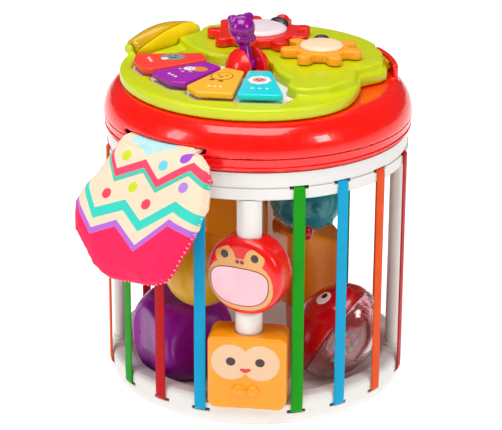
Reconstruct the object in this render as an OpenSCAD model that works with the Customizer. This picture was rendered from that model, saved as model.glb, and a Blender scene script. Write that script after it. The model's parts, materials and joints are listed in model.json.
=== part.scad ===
/* [Drum] */
// Radius of the outer face of the elastic bands
band_radius = 92.1; // [91.9:0.1:92.3]
// Thickness of an elastic band
band_thick = 1; // [0.8:0.1:1.2]
// Width of an elastic band
band_w = 7.4; // [6:0.2:8]
// Length of the slot that a band passes through
slot_w = 11.5; // [10:0.5:12]
// Height of the middle of the lower slots
low_slot_z = 10; // [9.8:0.1:10.2]
// Height of the middle of the upper slots
high_slot_z = 151; // [150:0.5:152]
// Radius of the tray's outer wall
tray_r = 90.6; // [90.2:0.1:90.7]
// Height of the tray's rolled lip
lip_z = 18.6; // [18.4:0.1:18.8]
// Radius of the upper ring's outer wall
ring_r = 90.9; // [90.6:0.1:90.9]
// Height of the upper ring's lower edge
ring_z = 144; // [143.6:0.1:144.2]

/* [Music head] */
// Height of the head's lower edge
head_z = 160.6; // [160.5:0.1:160.8]
// Largest radius of the head
head_r = 92.7; // [92.5:0.1:93]
// Height of the line where the two head casings meet
parting_z = 169; // [168.5:0.1:169.5]
// Height of the head's flat top
head_top = 188.3; // [188:0.1:188.4]
// Radius of the lime panel at the back
panel_r = 83.2; // [82.5:0.1:83.4]
// Height of the lime panel's rim
rim_z = 195.5; // [195:0.1:196]
// Height of the lime panel's raised deck
deck_z = 200; // [199.5:0.1:200]
// Top of the white key bed
bed_z = 193.6; // [193:0.1:193.8]

/* [Keys] */
// Height of the keys' top face
key_top = 199.6; // [199:0.1:200]
// How far a key travels
key_travel = 2; // [1:0.1:2]
// Gap round each key stem
stem_gap = 0.4; // [0.2:0.05:0.6]
// Gap round each key cap
key_gap = 1; // [0.6:0.1:1.2]

/* [Gears] */
// Centre of the red gear
red_gear_at = [-1.5, 43];
// Distance between the two gear centres
gear_pitch = 51.4; // [51.2:0.1:52]
// Direction from the red gear to the orange gear, from +X
gear_line = -40.7; // [-44:0.1:-38]
// Lobes on the red gear
red_lobes = 9; // [9]
// Lobes on the orange gear
orange_lobes = 7; // [7]
// Radius of a lobe's round tip
lobe_r = 4.3; // [4:0.1:4.4]

/* [Bear] */
// Middle of the bear lever's pivot
bear_at = [-6.2, -5.4, 198];
// Direction that the bear swings in, from the front towards the right
bear_turn = 35; // [20:1:50]
// How far the bear leans back at rest
bear_lean = 17; // [10:1:18]

/* [Beads] */
// Distance of the bead rod from the drum's axis
rod_at = 84.5; // [84:0.1:84.6]
// Radius of the bead rod
rod_r = 7.5; // [7:0.1:7.6]
// Running clearance of a bead on the rod
bead_gap = 0.08; // [0.03:0.01:0.1]
// Radius of the round frog bead
frog_r = 24.2; // [22:0.1:24.3]
// Thickness of the frog bead
frog_t = 22; // [20:0.5:22]
// Height of the frog bead's middle
frog_z = 98; // [97:0.5:99]
// How far the frog bead is turned to the left
frog_yaw = -22; // [-30:1:30]
// Width of the square bead
cube_w = 46.8; // [40:0.2:46.8]
// Thickness of the square bead
cube_t = 24; // [20:0.5:24]

/* [Cloth flap] */
// Direction that the cloth flap faces, from the front
flap_turn = -38; // [-40:1:-36]
// How far the flap leans out from upright
flap_lean = 20; // [18:1:22]
// Thickness of the padded flap
flap_t = 10; // [8:0.5:11]

/* [Hidden] */
$fn = 64;

tray_wall = 2.4;
plate_t = 3;
ring_wall = 2.3;
first_band = 18.2;
band_turns = [first_band, 35.5, 54.5, 76];
orange_turns = [-76, 54.5, 125.5, -161.8];
green_turns = [-54.5, 18.2, 144.5, -104];
red_turns = [-35.5, 76, 161.8, -125.5];
blue_turns = [-18.2, 35.5, 104, -144.5];
bead_bay_r = 25.8;
bay_z = 14.4;
bar_w = slot_w + 2;
screw_r = 1.5;
pilot_r = 1.5;
base_screw_turns = [45, 135, 225, 315];
boss_turns = [30, 75, 170, 215, 300, 345];
gear_z = deck_z + 0.5;
gear_t = 5.5;
red_r = 28.2;
orange_r = 20.7;
orange_gear_at = red_gear_at + gear_pitch * [cos(gear_line), sin(gear_line)];
post_r = 4;
face_r = [16.8, 13.2];
dome_r = 13.5;
barrel_turn = -127.5;
barrel_at = [78, 197.6];
barrel_r = 9.5;
barrel_end_r = 5.2;
barrel_split = 9;
barrel_half = 28;
roller_turn = 107;
roller_wall = 80.8;
roller_at = [74.8, 193.2];
roller_r = 5.2;
roller_half = 9;
axle_r = 1.5;
axle_gap = 0.06;
cube_low = 15.4;
cube_high = 61;
collar_top = frog_z - frog_r - 0.2;
rod_top = ring_z - 0.1;
board_z = 176;
board_t = 1.6;
dome_top = 183.4;
stem_r = 5;

// Corners of each key cap: front left, front right, back right, back left
RED_KEY = [[-74.4, -5.5], [-67.2, -20.4], [-61.8, -22.2], [-30.6, -0.6], [-34.6, 12.8], [-74.4, 8]];
PURPLE_KEY = [[-61.8, -27], [-48.2, -45.6], [-39.6, -47.6], [-20.9, -14.2], [-31.2, -3.9]];
YELLOW_KEY = [[-38.7, -52.3], [-31.8, -63.8], [-10.6, -65.6], [-6.9, -22.8], [-18.8, -15.4]];
CYAN_KEY = [[-8.8, -67], [18.2, -66.9], [8.6, -20.7], [-4.8, -21]];
RED_STEM = [-54, -6];
PURPLE_STEM = [-39.5, -28];
YELLOW_STEM = [-19, -43];
CYAN_STEM = [3, -45];

// Corners of the raised deck's inner side, from its leaf tip round to the back left
DECK_FRONT = [
  [72.5, -1], [66, -10.5], [64.6, -21.5], [54.8, -38.8], [43.4, -51.6], [32, -55.8], [24.5, -54.6],
  [20.4, -49.6], [19.2, -45], [20.9, -35], [17, -29.6], [11.4, -18.6], [8.4, -4], [-8, 3.5],
  [-20, 6], [-31, 10.6], [-40.5, 21.5], [-46, 32.5], [-51.5, 44.5], [-46, 58], [-36.5, 69.5]
];

// Corners of the cloth flap: across to the right, and down from its top edge
FLAP = [
  [-21, -2], [39, -3.5], [48, 7], [50.5, 23], [47.5, 38], [35, 72], [24, 77], [-9, 81],
  [-20, 77], [-41, 60], [-45.5, 50], [-46, 41]
];

function polar(r, turn) = [r * sin(turn), -r * cos(turn)];

function arc(r, from, to, steps) =
  [for (i = [0:steps]) polar(r, from + (to - from) * i / steps)];

// Radius of the lime panel's outline at each turn from the front
function dip(turn, middle, width) = exp(-pow((turn - middle) / width, 2));

function outline_r(turn) =
  panel_r - 0.8 * dip(turn, -60, 25) - 16.4 * dip(turn, 72, 27) + 4.6 * dip(turn, 88, 8)
  - 3.4 * dip(turn, 76, 6);

module around(r, turn) {
  rotate([0, 0, turn]) translate([0, -r, 0]) children();
}

module at(place, z) {
  translate([place[0], place[1], z]) children();
}

// A flat ring with square edges
module ring(r_in, r_out, z_low, z_high) {
  rotate_extrude() translate([r_in, z_low]) square([r_out - r_in, z_high - z_low]);
}

// Part of a flat ring between two turns from the front
module sector(r_in, r_out, z_low, z_high, from, to) {
  rotate([0, 0, from - 90]) rotate_extrude(angle = to - from)
    translate([r_in, z_low]) square([r_out - r_in, z_high - z_low]);
}

// A bar with round sides, standing along Z
module stadium(half, r, h) {
  linear_extrude(height = h) {
    translate([-half, -r]) square([2 * half, 2 * r]);
    translate([-half, 0]) circle(r);
    translate([half, 0]) circle(r);
  }
}

module rounded(r) {
  offset(r = r) offset(delta = -r) children();
}

// ---- Drum ----

module tray_profile() {
  polygon([
    [85.4, 0], [88, 1.7], [89.7, 4.4], [tray_r - 0.1, 7.6], [tray_r, 9], [tray_r, 15],
    [tray_r - 0.5, 16.8], [tray_r - 1.8, lip_z - 0.4], [tray_r - 3.6, lip_z], [82, lip_z],
    [79.9, lip_z - 0.5], [78.7, lip_z - 2], [78.2, 13], [77.4, 10.6], [75.4, 9.2], [0, 9.2],
    [0, 6.8], [75.8, 6.8], [78.8, 8], [80.2, 10.6], [80.6, 14.4], [81.5, lip_z - tray_wall],
    [tray_r - 3, lip_z - tray_wall], [tray_r - tray_wall, 15], [tray_r - tray_wall, 7.8],
    [87, 5], [84.6, 3.2], [84.2, 0]
  ]);
}

module base_tray() {
  color("ivory") difference() {
    union() {
      rotate_extrude($fn = 128) tray_profile();
      intersection() {
        ring(79, tray_r - 0.6, bay_z - 2, lip_z - 0.3);
        around(rod_at, 0) cylinder(r = bead_bay_r + 1.8, h = 40);
      }
      for (turn = base_screw_turns) around(52, turn) translate([0, 0, plate_t + 0.1])
        cylinder(r = 3.6, h = 5);
    }
    around(rod_at, 0) translate([0, 0, bay_z]) cylinder(r = bead_bay_r, h = 20);
    around(rod_at, 0) translate([0, 0, bay_z - 5]) cylinder(r = 1.8, h = 10);
    for (turn = [-90, 90, 180]) around(84.6, turn) translate([0, 0, 12])
      cylinder(r = 1.8, h = 10);
    for (side = [-1, 1], turn = band_turns) band_slot(side * turn, low_slot_z);
    for (side = [-1, 1], turn = band_turns) band_slot(180 + side * turn, low_slot_z);
    for (turn = base_screw_turns) around(52, turn) translate([0, 0, 2])
      cylinder(r = pilot_r, h = 6);
  }
}

module band_slot(turn, z) {
  around(band_radius, turn) translate([-slot_w / 2, -1, z - 1.1])
    cube([slot_w, 6, 2.2]);
}

module base_plate() {
  color("ivory") difference() {
    cylinder(r = 83.7, h = plate_t, $fn = 128);
    for (turn = base_screw_turns) around(52, turn) translate([0, 0, -1])
      cylinder(r = 1.7, h = 5);
    for (turn = base_screw_turns) around(52, turn) translate([0, 0, -1])
      cylinder(r = 3.1, h = 2.8);
  }
}

module post(turn) {
  around(84.6, turn) difference() {
    union() {
      translate([0, 0, lip_z + 0.1]) stadium(6.4, 4.1, rod_top - lip_z - 0.1);
      translate([0, 0, lip_z + 0.1]) stadium(6.8, 4.7, 1.8);
    }
    translate([0, 0, 12]) cylinder(r = pilot_r, h = 12);
    translate([0, 0, rod_top - 9]) cylinder(r = pilot_r, h = 10);
  }
}

module left_post() {
  color("ivory") post(-90);
}

module right_post() {
  color("ivory") post(90);
}

module back_post() {
  color("ivory") post(180);
}

module bead_rod() {
  color("white") around(rod_at, 0) difference() {
    union() {
      translate([0, 0, bay_z + 0.05]) cylinder(r = rod_r, h = rod_top - bay_z - 0.05);
      translate([0, 0, cube_high + 0.4]) cylinder(r = rod_r + 0.7, h = collar_top - cube_high - 0.4);
      translate([0, 0, bay_z + 0.05]) cylinder(r = rod_r + 2, h = cube_low - bay_z - 0.25);
    }
    translate([0, 0, bay_z - 1]) cylinder(r = pilot_r, h = 10);
    translate([0, 0, rod_top - 9]) cylinder(r = pilot_r, h = 10);
  }
}

// One flat elastic band, with a stopper bar behind the slot at each end
module band(turn) {
  inner = band_radius - band_thick;
  length = high_slot_z - low_slot_z + band_thick;
  around(0, turn) {
    translate([-band_w / 2, -band_radius, low_slot_z - band_thick / 2])
      cube([band_w, band_thick, length]);
    for (z = [low_slot_z, high_slot_z]) translate([0, 0, z - band_thick / 2]) {
      translate([-band_w / 2, -inner, 0]) cube([band_w, inner - 87, band_thick]);
      translate([-bar_w / 2, -87.8, -1.6]) cube([bar_w, 1, band_thick + 3.2]);
    }
  }
}

module orange_bands() {
  color("orangered") for (turn = orange_turns) band(turn);
}

module green_bands() {
  color("limegreen") for (turn = green_turns) band(turn);
}

module red_bands() {
  color("firebrick") for (turn = red_turns) band(turn);
}

module blue_bands() {
  color("deepskyblue") for (turn = blue_turns) band(turn);
}

module ring_profile() {
  polygon([
    [ring_r - 0.8, ring_z], [ring_r, ring_z + 0.8], [ring_r, high_slot_z + 0.1],
    [ring_r - 0.4, high_slot_z + 0.4], [ring_r - 0.4, 160.4], [ring_r - ring_wall, 160.4],
    [ring_r - ring_wall, ring_z + 2.2], [81.2, ring_z + 2.2], [81.2, 160.4], [79, 160.4],
    [79, ring_z + 0.8], [79.8, ring_z]
  ]);
}

module upper_ring() {
  color("ivory") difference() {
    union() {
      rotate_extrude($fn = 128) ring_profile();
      for (turn = base_screw_turns) around(84, turn) translate([0, 0, ring_z + 1])
        cylinder(r = 3, h = 15.4);
    }
    for (side = [-1, 1], turn = band_turns) band_slot(side * turn, high_slot_z);
    for (side = [-1, 1], turn = band_turns) band_slot(180 + side * turn, high_slot_z);
    for (turn = [-90, 90, 180]) around(84.6, turn) translate([0, 0, ring_z - 1])
      cylinder(r = 1.8, h = 5);
    around(rod_at, 0) translate([0, 0, ring_z - 1]) cylinder(r = 1.8, h = 5);
    for (turn = base_screw_turns) around(84, turn) translate([0, 0, 153])
      cylinder(r = pilot_r, h = 9);
  }
}

// A pan-head self-tapping screw, its head towards -Z and its seat at the origin
module screw() {
  translate([0, 0, -1.6]) cylinder(r = 2.8, h = 1.6);
  translate([0, 0, -0.1]) cylinder(r = screw_r, h = 6.1);
}

module case_screws() {
  color("silver") {
    for (turn = base_screw_turns) around(52, turn) translate([0, 0, 1.8]) screw();
    for (turn = [-90, 90, 180]) around(84.6, turn) translate([0, 0, lip_z - tray_wall]) screw();
    around(rod_at, 0) translate([0, 0, bay_z - 2]) screw();
    for (turn = [-90, 90, 180]) around(84.6, turn) translate([0, 0, ring_z + 2.2])
      mirror([0, 0, 1]) screw();
    around(rod_at, 0) translate([0, 0, ring_z + 2.2]) mirror([0, 0, 1]) screw();
    for (turn = base_screw_turns) around(84, turn) translate([0, 0, head_z + 2.6])
      mirror([0, 0, 1]) screw();
    for (turn = boss_turns) around(73, turn) translate([0, 0, head_z + 1.6]) screw();
  }
}

// ---- Music head casings ----

module head_base() {
  color("red") difference() {
    union() {
      rotate_extrude($fn = 128) polygon([
        [88.8, head_z], [90.2, head_z + 0.4], [91, head_z + 1.6], [92, 165],
        [head_r - 0.2, parting_z - 0.15], [head_r - 2.6, parting_z - 0.15], [89.6, 165],
        [88.4, head_z + 2.6], [0, head_z + 2.6], [0, head_z]
      ]);
      for (place = [[-50, -42], [44, -47], [-62, 8], [62, 8]]) at(place, head_z + 1)
        cylinder(r = 3.2, h = board_z - head_z - 1.1);
      translate([-30, 16, head_z + 1]) difference() {
        cube([60, 50, 18]);
        translate([2, 2, -2]) cube([56, 46, 18]);
      }
    }
    translate([-28, 18, head_z - 1]) cube([56, 46, 16]);
    for (turn = [0:60:300], r = [6, 12]) at([0, -40] + polar(r, turn), head_z - 1)
      cylinder(r = 1.6, h = 5);
    for (turn = boss_turns) around(73, turn) translate([0, 0, head_z - 1])
      cylinder(r = 1.7, h = 5);
    for (turn = boss_turns) around(73, turn) translate([0, 0, head_z - 1])
      cylinder(r = 3, h = 2.6);
    for (turn = base_screw_turns) around(84, turn) translate([0, 0, head_z - 1])
      cylinder(r = 1.7, h = 5);
    translate([-6, 83, 164]) cube([12, 12, 3.4]);
  }
}

module head_shell() {
  color("red") difference() {
    union() {
      rotate_extrude($fn = 128) polygon([
        [head_r - 0.1, parting_z + 0.15], [head_r, 171], [92.4, 174], [91.7, 177], [90.5, 180],
        [88.7, 183], [86.3, 185.6], [83.6, 187.3], [80, head_top], [61, head_top],
        [61, head_top - 2.4], [79.4, head_top - 2.4], [82.2, 185], [84.4, 183.6], [86.6, 181.2],
        [88.2, 178.6], [89.4, 175.6], [90.2, 172], [head_r - 2.6, parting_z + 0.15]
      ]);
      for (turn = boss_turns) around(73, turn) translate([0, 0, head_z + 2.8])
        cylinder(r = 3.4, h = 24);
      sector(roller_wall, roller_wall + 3, 184, 197, 93, 121);
    }
    for (turn = boss_turns) around(73, turn) translate([0, 0, head_z + 2])
      cylinder(r = pilot_r, h = 12);
    sector(84, 100, 170.4, 173.4, -54, -15.5);
    barrel_room();
    roller_room();
  }
}

// Room for the two-tone barrel and its end lugs
module barrel_room() {
  on_barrel() cylinder(r = barrel_r + 0.7, h = 2 * barrel_half + 1, center = true);
}

// Places children on the barrel's axis, with Z along the axis
module on_barrel() {
  rotate([0, 0, barrel_turn]) translate([0, -barrel_at[0], barrel_at[1]])
    rotate([0, 90, 0]) children();
}

module on_roller() {
  rotate([0, 0, roller_turn]) translate([0, -roller_at[0], roller_at[1]])
    rotate([0, 90, 0]) children();
}

module roller_room() {
  on_roller() cylinder(r = roller_r + 0.6, h = 2 * roller_half + 0.8, center = true);
}

// Outline of the lime panel
module panel_outline() {
  polygon([for (turn = [-180:5:175]) polar(outline_r(turn), turn)]);
}

module deck_outline() {
  rounded(2) intersection() {
    offset(delta = -2.6) panel_outline();
    polygon(concat(DECK_FRONT, arc(90, -150, -269, 14)));
  }
}

// The sunken white bed under the keys
module bed_outline() {
  difference() {
    union() {
      for (corners = [RED_KEY, PURPLE_KEY, YELLOW_KEY, CYAN_KEY]) offset(delta = key_gap)
        polygon(corners);
      polygon([[-64, 8], [-64, -22], [-39, -48], [-10, -64], [16, -66], [21.5, -62], [30, -40],
        [26, 8], [-12, 30], [-40, 42]]);
    }
    offset(delta = 0.3) deck_outline();
  }
}

module top_panel() {
  color("yellowgreen") difference() {
    union() {
      translate([0, 0, head_top + 0.1]) linear_extrude(height = rim_z - head_top - 0.1)
        panel_outline();
      translate([0, 0, rim_z - 1]) linear_extrude(height = deck_z - rim_z + 1) deck_outline();
      for (side = [-1, 1]) on_barrel() translate([0, 0, side * (barrel_half + 2.2)])
        cylinder(r = 3.4, h = 3, center = true);
    }
    translate([0, 0, head_top - 1]) linear_extrude(height = 20) offset(delta = 0.1) bed_outline();
    translate([0, 0, head_top - 1]) linear_extrude(height = deck_z - 2.2 - head_top + 1)
      intersection() {
        circle(r = 60);
        offset(delta = -2.4) deck_outline();
      }
    for (place = [red_gear_at, orange_gear_at]) at(place, head_top)
      cylinder(r = post_r + 0.1, h = 20);
    on_bear() translate([0, 0, -2]) sphere(r = dome_r + 0.1);
    sector(roller_wall - 0.2, 90, head_top, 210, 90, 123);
    sector(roller_wall - 3.6, 90, head_top + 2, 210, 96, 118);
    barrel_room();
    roller_room();
    on_barrel() translate([barrel_at[1] - head_top - 2, 0, 0])
      cube([8, 14, 2 * barrel_half - 6], center = true);
    on_barrel() cylinder(r = axle_r, h = 2 * barrel_half + 6.8, center = true);
    on_roller() cylinder(r = axle_r, h = 2 * roller_half + 9, center = true);
  }
}

module key_hole(place) {
  at(place, head_top - 2) cylinder(r = stem_r + stem_gap, h = 12);
}

module key_bed() {
  color("mistyrose") difference() {
    translate([0, 0, head_top + 0.1]) linear_extrude(height = bed_z - head_top - 0.1) bed_outline();
    for (place = [RED_STEM, PURPLE_STEM, YELLOW_STEM, CYAN_STEM]) key_hole(place);
    barrel_room();
  }
}

// ---- Keys ----

module key(corners, stem) {
  translate([0, 0, bed_z + key_travel + 0.2])
    linear_extrude(height = key_top - bed_z - key_travel - 0.2) rounded(2.4) polygon(corners);
  at(stem, dome_top + 0.1) cylinder(r = stem_r, h = key_top - dome_top - 1);
}

module key_dome(stem) {
  at(stem, board_z + board_t) {
    cylinder(r = 6, h = 1);
    cylinder(r1 = 5.2, r2 = 3.4, h = dome_top - board_z - board_t);
  }
}

module red_key() {
  color("tomato") key(RED_KEY, RED_STEM);
}

module purple_key() {
  color("darkmagenta") key(PURPLE_KEY, PURPLE_STEM);
}

module yellow_key() {
  color("gold") key(YELLOW_KEY, YELLOW_STEM);
}

module cyan_key() {
  color("turquoise") key(CYAN_KEY, CYAN_STEM);
}

module red_dome() {
  color("dimgray") key_dome(RED_STEM);
}

module purple_dome() {
  color("dimgray") key_dome(PURPLE_STEM);
}

module yellow_dome() {
  color("dimgray") key_dome(YELLOW_STEM);
}

module cyan_dome() {
  color("dimgray") key_dome(CYAN_STEM);
}

// ---- Electronics ----

module circuit_board() {
  color("seagreen") {
    translate([0, 0, board_z]) linear_extrude(height = board_t) difference() {
      intersection() {
        circle(r = 70);
        translate([-70, -66]) square([140, 80]);
      }
      for (turn = boss_turns) translate(polar(73, turn)) circle(r = 4.4);
    }
    for (place = [[30, -30], [30, 2], [-14, 2]]) at(place, board_z + board_t - 0.1)
      translate([-5, -5, 0]) cube([10, 10, 2.1]);
  }
}

module speaker() {
  color("darkslategray") at([0, -40], head_z + 2.6) rotate_extrude() polygon([
    [0, 6.4], [10, 6.4], [19, 0], [20, 0], [20, 2.6], [10, 9.4], [10, 12], [0, 12]
  ]);
}

module cells(r, length, x) {
  for (row = [-1:1]) translate([x, 41 + 15 * row, head_z + 9.9]) rotate([0, 90, 0])
    cylinder(r = r, h = length);
}

module batteries() {
  color("darkorange") {
    cells(7, 49, -25);
    cells(2.6, 51, -25);
  }
}

module battery_contacts() {
  color("silver") {
    for (side = [-1, 1], row = [-1:1])
      translate([side * 27.4 - 0.3, 41 + 15 * row - 4.5, head_z + 5.5]) cube([0.6, 9, 9]);
    cells(3.2, 2, -27.2);
  }
}

module battery_door() {
  color("red") {
    translate([-27.7, 18.3, head_z + 0.1]) cube([55.4, 45.4, 2.2]);
    for (row = [-0.5, 0.5]) translate([-20, 41 + 15 * row - 0.6, head_z + 0.1])
      cube([40, 1.2, 3.2]);
  }
}

module power_switch() {
  color("white") {
    translate([-2.2, 86, 164.3]) cube([4.4, 7.2, 2.8]);
    translate([-2.2, 84, 163.6]) cube([4.4, 3, 4.2]);
  }
}

// ---- Bear lever ----

module on_bear() {
  translate(bear_at) rotate([0, 0, bear_turn]) children();
}

module bear_dome() {
  color("red") difference() {
    on_bear() intersection() {
      translate([0, 0, -2]) sphere(r = dome_r);
      translate([-20, -20, bed_z - bear_at[2] + 0.1]) cube([40, 40, 30]);
    }
    on_bear() translate([-4.2, -20, -2.6]) cube([8.4, 40, 30]);
    on_bear() rotate([0, 90, 0]) cylinder(r = 4.6, h = 8.4, center = true);
    on_bear() rotate([0, 90, 0]) cylinder(r = axle_r, h = 22, center = true);
  }
}

module bear_pin() {
  color("silver") on_bear() rotate([0, 90, 0]) cylinder(r = axle_r, h = 22, center = true);
}

module bear_lever() {
  color("purple") on_bear() rotate([-bear_lean, 0, 0]) difference() {
    union() {
      rotate([0, 90, 0]) cylinder(r = 4, h = 7.6, center = true);
      cylinder(r = 3.4, h = 12);
      translate([0, 0, 15.6]) sphere(r = 5.2);
      translate([0, 0, 22.4]) sphere(r = 8);
      for (side = [-1, 1]) {
        translate([side * 5.4, 0, 27.8]) rotate([90, 0, 0])
          cylinder(r = 3, h = 4, center = true);
        translate([side * 4.8, -2.4, 15.4]) sphere(r = 2.4);
      }
    }
    rotate([0, 90, 0]) cylinder(r = axle_r + axle_gap, h = 30, center = true);
  }
}

// ---- Gears ----

module lobed_gear(lobes, reach) {
  difference() {
    linear_extrude(height = gear_t) {
      circle(r = reach - lobe_r);
      for (i = [0:lobes - 1]) rotate(i * 360 / lobes) {
        translate([reach, 0]) circle(r = lobe_r);
        translate([0, -lobe_r]) square([reach, 2 * lobe_r]);
      }
    }
    translate([0, 0, -1]) cylinder(r = post_r + axle_gap, h = 20);
    translate([0, 0, 3.6]) cylinder(r = 6.4, h = 10);
  }
}

module red_gear() {
  color("red") at(red_gear_at, gear_z) rotate(gear_line + 180 / red_lobes)
    lobed_gear(red_lobes, red_r);
}

module orange_gear() {
  color("orange") at(orange_gear_at, gear_z) rotate(gear_line + 180)
    lobed_gear(orange_lobes, orange_r);
}

module gear_face(r) {
  rotate_extrude() polygon([[0, 0], [r, 0], [r, 0.8], [r - 0.8, 1.7], [r - 3, 2.5], [0, 3]]);
}

module red_gear_face() {
  color("mistyrose") at(red_gear_at, gear_z + gear_t) gear_face(face_r[0]);
}

module orange_gear_face() {
  color("peachpuff") at(orange_gear_at, gear_z + gear_t) gear_face(face_r[1]);
}

module gear_posts() {
  color("white") for (place = [red_gear_at, orange_gear_at]) at(place, deck_z - 2.3) {
    difference() {
      union() {
        translate([0, 0, -2]) cylinder(r = 7, h = 2);
        translate([0, 0, -1]) cylinder(r = post_r, h = gear_z - deck_z + 2.3 + 1 + 3.7);
      }
      translate([0, 0, -1.8]) cylinder(r = 1.4, h = 20);
    }
  }
}

module gear_screws() {
  color("silver") for (place = [red_gear_at, orange_gear_at]) at(place, gear_z + 3.7) {
    cylinder(r = 5.6, h = 1.4);
    translate([0, 0, -8]) cylinder(r = 1.4, h = 8.1);
  }
}

// ---- Barrel and roller ----

module barrel_profile() {
  polygon(concat(
    [[axle_r + axle_gap, -barrel_half], [barrel_end_r - 1, -barrel_half]],
    [for (i = [0:12]) [barrel_end_r + (barrel_r - barrel_end_r) * sin(i * 15),
      (i - 6) / 6 * (barrel_half - 1)]],
    [[barrel_end_r - 1, barrel_half], [axle_r + axle_gap, barrel_half]]
  ));
}

// Half of the barrel, on one side of a plane through its axis
module barrel_half_shell(side) {
  on_barrel() rotate([0, 0, 52]) intersection() {
    rotate_extrude() barrel_profile();
    rotate([0, barrel_split, 0]) translate([side > 0 ? 0.05 : -20.05, -20, -40])
      cube([20, 40, 80]);
  }
}

module barrel_shell() {
  color("yellow") barrel_half_shell(1);
}

module barrel_window() {
  color("goldenrod") barrel_half_shell(-1);
}

module barrel_axle() {
  color("silver") on_barrel() cylinder(r = axle_r, h = 2 * barrel_half + 6.6, center = true);
}

module click_roller() {
  color("goldenrod") on_roller() difference() {
    linear_extrude(height = 2 * roller_half, center = true) {
      circle(roller_r - 0.9);
      for (i = [0:7]) rotate(i * 45 + 10) translate([roller_r - 1.1, 0]) circle(1.1);
    }
    cylinder(r = axle_r + axle_gap, h = 40, center = true);
  }
}

module roller_axle() {
  color("silver") on_roller() cylinder(r = axle_r, h = 2 * roller_half + 8.8, center = true);
}

// ---- Beads on the rod ----

// Places children on the rod, facing the front after a turn, with Y into the bead
module on_rod(turn, z) {
  around(rod_at, 0) translate([0, 0, z]) rotate([0, 0, turn]) children();
}

module frog_bead() {
  edge = 6;
  color("red") on_rod(frog_yaw, frog_z) difference() {
    rotate([90, 0, 0]) rotate_extrude($fn = 96) polygon(concat(
      [[0, -frog_t / 2]],
      [for (i = [0:5]) [frog_r - edge + edge * sin(i * 18), -frog_t / 2 + edge - edge * cos(i * 18)]],
      [for (i = [0:5]) [frog_r - edge + edge * cos(i * 18), frog_t / 2 - edge + edge * sin(i * 18)]],
      [[0, frog_t / 2]]
    ));
    cylinder(r = rod_r + bead_gap, h = 80, center = true);
  }
}

module on_frog_front() {
  on_rod(frog_yaw, frog_z) translate([0, -frog_t / 2, 0]) rotate([90, 0, 0]) children();
}

module frog_face() {
  color("burlywood") on_frog_front() linear_extrude(height = 0.6) {
    translate([0, -2.6]) circle(r = 16);
    for (side = [-1, 1]) translate([side * 9.6, 10.4]) circle(r = 5.4);
  }
}

module frog_mirror() {
  color("silver") on_frog_front() translate([0, -4, 0.6]) linear_extrude(height = 0.4)
    intersection() {
      circle(r = 13.4);
      translate([-20, -20]) square([40, 26]);
    }
}

module square_bead() {
  edge = 4.5;
  flat = cube_w / 2 - edge;
  color("orange") on_rod(-4, 0) difference() {
    union() {
      intersection() {
        translate([0, 0, cube_low]) linear_extrude(height = cube_high - cube_low) {
          translate([-flat, -cube_t / 2]) square([2 * flat, cube_t]);
          translate([-cube_w / 2, edge - cube_t / 2]) square([cube_w, cube_t - 2 * edge]);
          for (x = [-1, 1], y = [-1, 1]) translate([x * flat, y * (cube_t / 2 - edge)])
            circle(r = edge);
        }
        rotate([90, 0, 0]) linear_extrude(height = 2 * cube_t, center = true) {
          translate([-cube_w / 2, cube_low + edge]) square([cube_w, cube_high - cube_low - 2 * edge]);
          translate([-flat, cube_low]) square([2 * flat, cube_high - cube_low]);
          for (x = [-1, 1], z = [cube_low + edge, cube_high - edge]) translate([x * flat, z])
            circle(r = edge);
        }
      }
      for (side = [-1, 1]) translate([side * 3.4, -cube_t / 2, 28]) sphere(r = 2.8);
    }
    translate([0, 0, 30]) cylinder(r = rod_r + bead_gap, h = 80, center = true);
  }
}

module square_face() {
  color("bisque") on_rod(-4, 44) translate([0, -cube_t / 2, 0]) rotate([90, 0, 0])
    linear_extrude(height = 0.6) for (side = [-1, 1]) translate([side * 8.6, 0]) circle(r = 10.6);
}

// ---- Cloth flap ----

// The flap's thin top hem, which passes through the slit and is held by a thicker seam inside
module cloth_hem() {
  sector(87, head_r + 1.4, 171.1, 172.7, -12, 20.5);
  sector(86, 88, 169.8, 174.2, -11, 19.5);
}

module cloth_flap() {
  color("hotpink") rotate([0, 0, flap_turn]) {
    difference() {
      translate([0, -97, 171]) rotate([90 - flap_lean, 0, 0])
        translate([0, 0, -flap_t]) linear_extrude(height = flap_t) rounded(3)
          polygon([for (corner = FLAP) [corner[0], -corner[1]]]);
      cylinder(r = head_r + 0.5, h = 300, $fn = 128);
    }
    cloth_hem();
  }
}

// ---- Loose shapes inside the cage ----

module rounded_block(side, height, r) {
  intersection() {
    translate([-side / 2, -side / 2, -height / 2]) cube([side, side, height]);
    sphere(r = r);
  }
}

module purple_block() {
  color("purple") translate([-43.9, -29, 34.4]) rotate([0, 0, 33.5]) rounded_block(50, 50, 32);
}

module mustard_ball() {
  color("goldenrod") translate([-30.8, -45, 82.1]) sphere(r = 22.5);
}

module coral_block() {
  color("orangered") translate([43, 22, 23.5]) rotate([0, 0, 12]) rounded_block(46, 28.4, 30);
}

module orange_block() {
  color("orange") translate([31, 24, 63]) difference() {
    rotate([0, 0, 28]) translate([-20, -20, -25]) cube([40, 40, 50]);
    for (turn = [0:90:270]) rotate([0, 0, 28 + turn]) translate([20, 20, 0]) rotate([0, 0, 45])
      cube([11, 11, 60], center = true);
    translate([3, -40, 24]) rotate([0, 24, 0]) cube([60, 80, 30]);
  }
}

module teal_ball() {
  color("teal") translate([30, 2, 113.4]) {
    sphere(r = 22.6);
    for (tier = [-35, 0, 35], i = [0:4]) rotate([0, tier, i * 72 + tier])
      translate([21.8, 0, 0]) sphere(r = 2.8);
  }
}

module amber_block() {
  color("goldenrod") translate([-16, 24, 100]) rotate([0, 0, 8]) rounded_block(40, 46, 31);
}

module on_rattle() {
  translate([50, -36, 40.4]) rotate([0, 32, -20]) children();
}

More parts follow.
